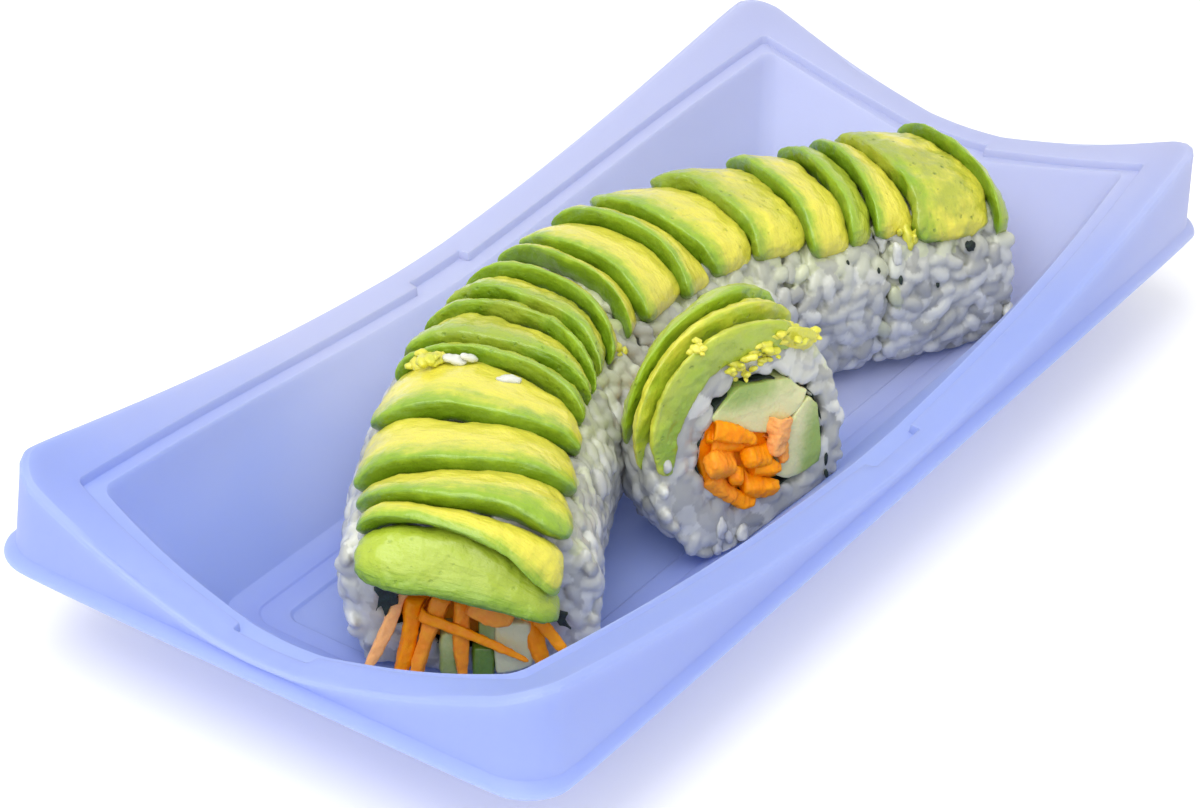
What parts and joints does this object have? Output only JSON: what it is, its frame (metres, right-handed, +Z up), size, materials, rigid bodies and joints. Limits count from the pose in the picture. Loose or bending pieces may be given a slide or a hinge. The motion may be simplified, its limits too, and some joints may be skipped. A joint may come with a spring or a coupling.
{
  "type": "takeaway sushi tray",
  "caption": "Frosted blue plastic takeaway tray holding a curved avocado-topped sushi roll, with one piece turned to show its carrot and cucumber filling.",
  "frame": {"origin": "middle of the flat underside of the tray's well, on which the tray stands", "axes": "+X along the tray towards the far end of the roll, +Y towards the long side behind the roll, +Z up"},
  "size_m": [0.24, 0.1102, 0.046],
  "materials": {
    "frosted_plastic": "frosted, slightly translucent",
    "rice": "cooked short-grain rice, moist",
    "nori": "thin dark seaweed sheet",
    "carrot": "raw cut shreds, moist",
    "cucumber": "raw cut batons, moist",
    "avocado": "ripe cut slices, moist, green at the rim and yellow inside"
  },
  "bodies": {
    "root": {"avocado_1": "avocado", "avocado_10": "avocado", "avocado_11": "avocado", "avocado_12": "avocado", "avocado_13": "avocado", "avocado_14": "avocado", "avocado_15": "avocado", "avocado_16": "avocado", "avocado_17": "avocado", "avocado_18": "avocado", "avocado_19": "avocado", "avocado_2": "avocado", "avocado_20": "avocado", "avocado_21": "avocado", "avocado_22": "avocado", "avocado_23": "avocado", "avocado_24": "avocado", "avocado_3": "avocado", "avocado_4": "avocado", "avocado_5": "avocado", "avocado_6": "avocado", "avocado_7": "avocado", "avocado_8": "avocado", "avocado_9": "avocado", "carrot_1": "carrot", "carrot_2": "carrot", "carrot_3": "carrot", "carrot_4": "carrot", "carrot_5": "carrot", "carrot_6": "carrot", "carrot_7": "carrot", "carrot_8": "carrot", "cucumber_1": "cucumber", "cucumber_1b": "cucumber", "cucumber_2": "cucumber", "cucumber_3": "cucumber", "cucumber_4": "cucumber", "cucumber_5": "cucumber", "cucumber_6": "cucumber", "cucumber_7": "cucumber", "cucumber_8": "cucumber", "cucumber_8b": "cucumber", "nori_1": "nori", "nori_2": "nori", "nori_3": "nori", "nori_4": "nori", "nori_5": "nori", "nori_6": "nori", "nori_7": "nori", "nori_8": "nori", "rice_1": "rice", "rice_2": "rice", "rice_3": "rice", "rice_4": "rice", "rice_5": "rice", "rice_6": "rice", "rice_7": "rice", "rice_8": "rice", "tray": "frosted_plastic"}
  },
  "joints": []
}
